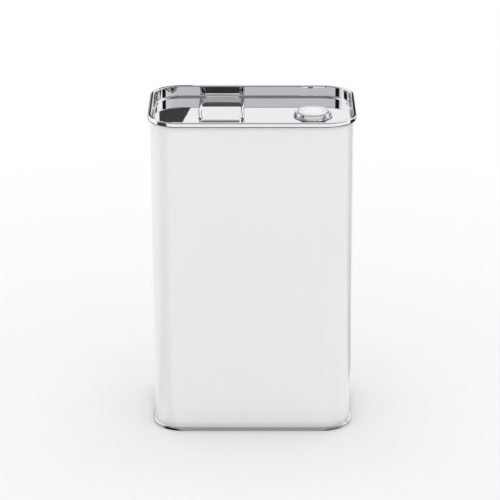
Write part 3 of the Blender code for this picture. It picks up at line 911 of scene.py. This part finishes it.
class TIN_OT_cap(bpy.types.Operator):
    """Makes the screw cap with its ring groove and the pull ring that lies in it"""
    bl_idname = "tin.cap"
    bl_label = "Cap and Pull Ring"

    def execute(self, context):
        can = context.scene.tin_can
        closure = context.scene.tin_closure
        plastic = finish_named("plastic_finish", white_plastic)
        self.make_cap(can, closure, plastic)
        self.make_ring(closure, plastic)
        return {"FINISHED"}

    def make_cap(self, can, closure, plastic):
        """The cap, turned with its groove, then scooped and fluted."""
        panel = panel_top(can)
        radius = (CAP_HIGH.x - CAP_LOW.x) / 2
        top, foot = CAP_HIGH.z, CAP_LOW.z
        bore = closure.cap_bore
        ceiling = panel + closure.cap_ceiling
        floor = panel + closure.groove_floor
        ease = can.sheet / 2
        inner, outer = closure.groove_inner, closure.groove_outer
        cap = turned("screw_cap", [
            (0.0, top - ease * 0.8), (inner * 0.75, top - ease * 0.4), (inner - ease * 1.2, top),
            (inner - ease * 0.35, top - ease * 0.35), (inner, top - ease * 1.2),
            (inner, floor + ease * 0.6), (inner + ease * 0.6, floor), (outer - ease * 0.6, floor),
            (outer, floor + ease * 0.6), (outer, top - ease * 0.5), (outer + ease * 0.5, top),
            (radius - ease * 1.5, top), (radius - ease * 0.45, top - ease * 0.45),
            (radius, top - ease * 1.5), (radius, foot + ease), (radius - ease, foot),
            (bore + ease, foot), (bore, foot + ease), (bore, ceiling), (0.0, ceiling)],
            closure.turn_steps, closed=False)
        self.cut_scoop(cap, top, outer, inner)
        self.cut_flutes(cap, radius, foot, floor)
        smooth(cap)
        dress(cap, "cap", "white_plastic", plastic, "spout_cap")

    def make_ring(self, closure, plastic):
        """The pull ring, lying flat in the cap's groove."""
        width = closure.ring_width
        ring_outer = (RING_HIGH.x - RING_LOW.x) / 2
        ring_inner = ring_outer - width
        low, high = RING_LOW.z, RING_HIGH.z
        crown = (high - low) * 0.3
        ring = turned("pull_ring_loop", [
            (ring_inner + width * 0.3, high), (ring_outer - width * 0.3, high),
            (ring_outer - width * 0.1, high - crown * 0.4), (ring_outer, high - crown),
            (ring_outer, low + crown), (ring_outer - width * 0.12, low),
            (ring_inner + width * 0.12, low), (ring_inner, low + crown),
            (ring_inner, high - crown), (ring_inner + width * 0.1, high - crown * 0.4)],
            closure.turn_steps)
        smooth(ring, 50.0)
        dress(ring, "ring", "white_plastic", plastic, "pull_ring")

    def cut_scoop(self, cap, top, outer, inner):
        """A scoop at the front of the groove, for a fingernail under the ring."""
        bpy.ops.object.select_all(action="DESELECT")
        scoop_radius = (outer - inner) * 1.3
        bpy.ops.mesh.primitive_uv_sphere_add(
            segments=32, ring_count=16, radius=scoop_radius,
            location=(CLOSURE_AXIS.x,
                      CLOSURE_AXIS.y - (outer + inner) / 2 + scoop_radius * 0.2,
                      top + scoop_radius * 0.62))
        combine(cap, bpy.context.active_object, "DIFFERENCE")

    def cut_flutes(self, cap, radius, foot, floor):
        """Grip flutes down the skirt, cut in a little way."""
        flutes = []
        count = 36
        bite = 0.00022
        for index in range(count):
            angle = math.tau * index / count
            bpy.ops.object.select_all(action="DESELECT")
            bpy.ops.mesh.primitive_cylinder_add(
                vertices=8, radius=bite * 2, depth=floor - foot - bite * 4,
                location=(CLOSURE_AXIS.x + math.cos(angle) * (radius + bite),
                          CLOSURE_AXIS.y + math.sin(angle) * (radius + bite),
                          (floor + foot) / 2 - bite * 3))
            flutes.append(bpy.context.active_object)
        join_into(*flutes)
        bpy.ops.object.transform_apply(location=True, rotation=True, scale=True)
        combine(cap, flutes[0], "DIFFERENCE")


class TIN_OT_seals(bpy.types.Operator):
    """Gives the sealing compounds, the gasket and the cap's liner their finish"""
    bl_idname = "tin.seals"
    bl_label = "Seals"

    def execute(self, context):
        rubber = finish_named("rubber_finish", sealing_rubber)
        for name in ("top_seam_compound", "bottom_seam_compound", "neck_gasket", "cap_liner"):
            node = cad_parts[name]
            node.data.materials.clear()
            node.data.materials.append(rubber)
        return {"FINISHED"}


class TinStageSettings(bpy.types.PropertyGroup):
    lens: FloatProperty(
        name="Lens", description="Focal length of the camera in millimetres", default=175.98)
    distance: length("Distance", "From the camera to the middle of the can", 1.9983)
    pitch: tilt("Pitch", "How far the camera looks down", 20.323)
    yaw: tilt("Yaw", "How far the camera stands round the can", 0.178)
    roll: tilt("Roll", "Tilt of the horizon", -0.078)
    target: FloatVectorProperty(
        name="Target", description="Where the camera looks", subtype="XYZ", size=3,
        default=(-0.00186, 0.0, 0.13863))
    floor_size: length("Floor Size", "Side of the floor", 6.0)


class TIN_OT_stage(bpy.types.Operator):
    """Makes the camera, the pale floor, the soft studio light and the painted reflections for the
    bright metal
    """
    bl_idname = "tin.stage"
    bl_label = "Stage"

    def execute(self, context):
        settings = context.scene.tin_stage
        self.add_camera(context.scene, settings)
        self.add_floor(context.scene, settings)
        self.add_cards(context.scene.tin_can)
        self.add_light(context.scene)
        context.scene.view_settings.view_transform = "Standard"
        return {"FINISHED"}

    def add_camera(self, scene, settings):
        lens = bpy.data.cameras.new("photo_camera")
        lens.lens = settings.lens
        lens.sensor_width = 36.0
        lens.clip_start = 0.05
        lens.clip_end = 50.0
        camera = bpy.data.objects.new("photo_camera", lens)
        scene.collection.objects.link(camera)
        pitch, roll = settings.pitch, settings.roll
        back = Vector((0.0, -math.cos(pitch), math.sin(pitch)))
        right = Vector((1.0, 0.0, 0.0))
        up = back.cross(right)
        turned_right = right * math.cos(roll) + up * math.sin(roll)
        turned_up = up * math.cos(roll) - right * math.sin(roll)
        turn = Matrix.Rotation(settings.yaw, 3, "Z")
        axes = [turn @ axis for axis in (turned_right, turned_up, back)]
        place = turn @ (Vector(settings.target) + back * settings.distance)
        pose = Matrix((axes[0], axes[1], axes[2])).transposed().to_4x4()
        camera.matrix_world = Matrix.Translation(place) @ pose
        scene.camera = camera

    def add_floor(self, scene, settings):
        floor = start_plane("studio_floor", size=settings.floor_size)
        bpy.ops.mesh.subdivide(number_cuts=8)
        leave_edit(floor)
        floor.data.materials.append(self.floor_finish(scene.tin_colours))

    def floor_finish(self, colours):
        """Pale paper that turns to plain white away from the can; to glossy rays it glows
        with the painted reflection tone, dark round the can's foot.
        """
        finish = Finish("studio_paper")
        base = Vector(colours.floor)
        finish.feed("Roughness", 0.9)
        finish.feed("Specular IOR Level", 0.1)
        fibre = finish.noise(700.0, 3.0)
        finish.feed("Base Color", finish.ramp(fibre, (0.3, base * 0.995), (0.7, base)))
        where = finish.node("ShaderNodeTexCoord")
        away = finish.node("ShaderNodeVectorMath", operation="LENGTH")
        finish.link(where.outputs["Object"], away.inputs[0])
        paper_reach, whole_white, ramp_reach = 0.14, 0.70, 2.0
        share = finish.maths("DIVIDE", away.outputs["Value"], ramp_reach)
        fade = finish.ramp(share, (paper_reach / ramp_reach, 0.0), (whole_white / ramp_reach, 1.0))
        glow = finish.node("ShaderNodeEmission", in_Strength=1.0)
        path = finish.node("ShaderNodeLightPath")
        seen = finish.maths("MULTIPLY", fade, path.outputs["Is Camera Ray"])
        paper = finish.blend(seen, finish.shader.outputs[0], glow.outputs[0])
        apart = finish.node("ShaderNodeVectorMath", operation="SUBTRACT")
        apart.inputs[1].default_value = (0.0, 0.0, CAN_TOP)
        finish.link(where.outputs["Object"], apart.inputs[0])
        toward = finish.node("ShaderNodeVectorMath", operation="NORMALIZE")
        finish.link(apart.outputs[0], toward.inputs[0])
        # Painted reflection: glossy rays see the floor glow with a tone by direction from the can's
        # top, dark round its foot
        painted_floor_reflection = finish.node("ShaderNodeEmission", in_Strength=1.0)
        finish.link(painted_reflection_tone(finish, toward.outputs[0]), painted_floor_reflection.inputs["Color"])
        both = finish.blend(path.outputs["Is Glossy Ray"], paper, painted_floor_reflection.outputs[0])
        out = next(node for node in finish.tree.nodes if node.type == "OUTPUT_MATERIAL")
        finish.link(both, out.inputs["Surface"])
        return finish.material

    def add_cards(self, can):
        """Painted reflections: dark cards behind the can, and a dark ring under its top seam as
        painted shade below the seam's fold; only bright metal shows them.
        """
        # Dark paint for the painted reflections and the painted shade below
        paper = Finish("dark_card")
        paper.feed("Roughness", 0.9)
        paper.feed("Base Color", paper.ramp(paper.noise(40.0, 2.0), (0.3, 0.030), (0.7, 0.045)))
        foot, head, behind = 0.31, 0.40, 0.35
        # Painted reflections: dark cards behind the can that only glossy rays see
        # The left and right edge of each card, first at its foot and then at its head
        for name, edges in (("left_card", ((-0.0890, -0.0340), (-0.0890, -0.0839))),
                            ("edge_card", ((-0.0998, -0.0943), (-0.0998, -0.0943))),
                            ("right_card", ((0.0935, 0.6), (0.0935, 0.6)))):
            card = upright_plane(name, 1.0, head - foot, (0.0, behind, (foot + head) / 2))
            for height, (first, last) in ((foot, edges[0]), (head, edges[1])):
                for before, after in ((-0.5, first), (0.5, last)):
                    pick(card, "verts", lambda vert: abs(vert.co.z - height) < MERGE_DISTANCE
                         and abs(vert.co.x - before) < MERGE_DISTANCE)
                    move_by((after - before, 0.0, 0.0))
            self.show_to_metal(card, paper.material)
        # Painted shade: a dark ring just outside the can below its top seam, which the seam's fold
        # reflects in place of the shade under it
        shade_ring_reach, ring_width, shade_ring_drop = 0.0062, 0.0058, 0.0074
        ring = rounded_plane("dark_ring", can, -shade_ring_reach, CAN_TOP - shade_ring_drop)
        bpy.ops.mesh.inset(thickness=ring_width, use_boundary=True, use_even_offset=True)
        bpy.ops.mesh.delete(type="FACE")
        self.show_to_metal(ring, paper.material)

    def show_to_metal(self, card, paper):
        """Gives a card its paper and leaves it to glossy rays alone, as a painted reflection."""
        leave_edit(card)
        card.data.materials.append(paper)
        card.visible_camera = False
        card.visible_diffuse = False
        card.visible_shadow = False
        card.visible_transmission = False

    def add_light(self, scene):
        """A plain even sky that lights the can, and painted reflections with dark and bright parts
        that only the bright metal shows.
        """
        world_of_painted_reflections = bpy.data.worlds.new("studio_room")
        scene.world = world_of_painted_reflections
        world_of_painted_reflections.use_nodes = True
        world_of_painted_reflections.node_tree.nodes.clear()
        SkyAndPaintedReflectionNodes(world_of_painted_reflections.node_tree).build()


class SkyAndPaintedReflectionNodes(Finish):
    """The world's nodes: a plain sky that lights the can, and painted reflections for glossy rays.
    """

    def __init__(self, tree):
        self.tree = tree
        self.column = -300

    def build(self):
        out = self.node("ShaderNodeOutputWorld")
        plain = self.node("ShaderNodeBackground", in_Strength=1.03)
        plain.inputs["Color"].default_value = shade(1.0)
        # Painted reflections: what glossy rays see of the world, dark and bright by direction
        seen = self.node("ShaderNodeBackground", in_Strength=1.0)
        where = self.node("ShaderNodeTexCoord")
        self.link(painted_reflection_tone(self, where.outputs["Generated"]), seen.inputs["Color"])
        path = self.node("ShaderNodeLightPath")
        both = self.blend(path.outputs["Is Glossy Ray"], plain.outputs[0], seen.outputs[0])
        self.link(both, out.inputs["Surface"])


def painted_reflection_tone(nodes, direction):
    """Painted reflections for bright metal, by direction: white behind with a low dark band, grey
    with dark strips on the near side, and painted shade round the foot of the can. The stops are in
    degrees: a turn of 0 faces the camera's side and grows to the right, a rise of 0 is level."""
    split = nodes.node("ShaderNodeSeparateXYZ")
    nodes.link(direction, split.inputs[0])
    toward = nodes.maths("MULTIPLY", split.outputs["Y"], -1.0)
    turn = nodes.maths("ARCTAN2", split.outputs["X"], toward)
    round_share = nodes.maths("MULTIPLY_ADD", turn, 0.5 / math.pi, 0.5)
    rise_share = nodes.maths(
        "MULTIPLY_ADD", nodes.maths("ARCSINE", split.outputs["Z"]), 1.0 / math.pi, 0.5)

    def by_turn(*stops):
        return nodes.ramp(round_share, *[((angle + 180) / 360, tone) for angle, tone in stops])

    def by_rise(*stops):
        return nodes.ramp(rise_share, *[((angle + 90) / 180, tone) for angle, tone in stops])

    def times(first, second):
        return nodes.mix(1.0, first, second, "MULTIPLY")

    front = by_rise((-90, 0.95), (-6, 0.92), (0, 0.44), (6, 0.44), (13, 0.24), (15.5, 0.77),
                    (18, 0.79), (20, 0.95), (25, 0.95), (28, 0.04), (60, 0.05), (75, 0.35),
                    (90, 0.40))
    back = by_rise((-90, 0.95), (-14, 0.95), (-10, 0.08), (14.5, 0.08), (15.5, 0.93), (38, 0.93),
                   (44, 0.15), (70, 0.20), (90, 0.40))
    sector = by_turn((-180, 1.0), (-150, 1.0), (-140, 0.0), (172, 0.0), (176, 1.0))
    aside = by_rise((60, 1.0), (90, 0.40))
    behind = nodes.mix(sector, aside, back)
    near = nodes.maths("MULTIPLY_ADD", toward, 4.0, 0.5, clamp=True)
    tone = nodes.mix(near, behind, front)
    # Painted reflections of dark strips to both sides, above and below level
    upper = by_turn((-96, 1.0), (-79, 0.9), (-77, 0.01), (-59, 0.01), (-57, 0.8), (-40, 0.77),
                    (0, 0.77), (40, 0.8), (73, 0.95), (75, 0.01), (93, 0.01), (95, 1.0))
    lower = by_turn((-88, 1.0), (-83, 0.05), (-52, 0.05), (-47, 1.0), (101, 1.0), (104, 0.02),
                    (134, 0.02), (137, 1.0))
    # Painted shade round the can's foot, as the bright metal shows it
    painted_foot_shade = by_turn((-59, 1.0), (-57, 0.02), (-49, 0.02), (-47, 1.0), (47, 1.0), (49, 0.40),
                        (57, 0.40), (59, 1.0))
    lower = nodes.mix(by_rise((-66, 1.0), (-60, 0.0)), lower, painted_foot_shade)
    tone = times(tone, nodes.mix(by_rise((14, 0.0), (15.5, 1.0)), 1.0, upper))
    tone = times(tone, nodes.mix(by_rise((-10, 1.0), (-6, 0.0)), 1.0, lower))
    # Painted shade where the bright metal looks steeply down to the can's foot
    return times(tone, by_rise((-73, 0.32), (-65, 1.0)))


PIECE_OPERATORS = (
    TIN_OT_stage, TIN_OT_body, TIN_OT_top_end, TIN_OT_bottom_end, TIN_OT_strap, TIN_OT_collar,
    TIN_OT_spout, TIN_OT_cap, TIN_OT_seals)


class TIN_PT_panel(bpy.types.Panel):
    bl_label = "Rectangular Tin"
    bl_idname = "TIN_PT_panel"
    bl_space_type = "VIEW_3D"
    bl_region_type = "UI"
    bl_category = "Tin"

    def draw(self, context):
        for step in PIECE_OPERATORS:
            self.layout.operator(step.bl_idname)
        for group in (context.scene.tin_can, context.scene.tin_strap, context.scene.tin_closure,
                      context.scene.tin_colours, context.scene.tin_stage):
            box = self.layout.box()
            for word in group.__annotations__:
                box.prop(group, word)


GROUPS = (
    ("tin_can", TinCanSizes), ("tin_strap", TinStrapSizes), ("tin_closure", TinClosureSizes),
    ("tin_colours", TinColours), ("tin_stage", TinStageSettings))


def register():
    for word, group in GROUPS:
        bpy.utils.register_class(group)
        setattr(bpy.types.Scene, word, PointerProperty(type=group))
    for step in (*PIECE_OPERATORS, TIN_PT_panel):
        bpy.utils.register_class(step)


def unregister():
    for step in reversed((*PIECE_OPERATORS, TIN_PT_panel)):
        bpy.utils.unregister_class(step)
    for word, group in reversed(GROUPS):
        delattr(bpy.types.Scene, word)
        bpy.utils.unregister_class(group)


def main():
    register()
    bpy.ops.tin.stage()
    bpy.ops.tin.body()
    bpy.ops.tin.top_end()
    bpy.ops.tin.bottom_end()
    bpy.ops.tin.strap()
    bpy.ops.tin.collar()
    bpy.ops.tin.spout()
    bpy.ops.tin.cap()
    bpy.ops.tin.seals()


if __name__ == "__main__":
    main()
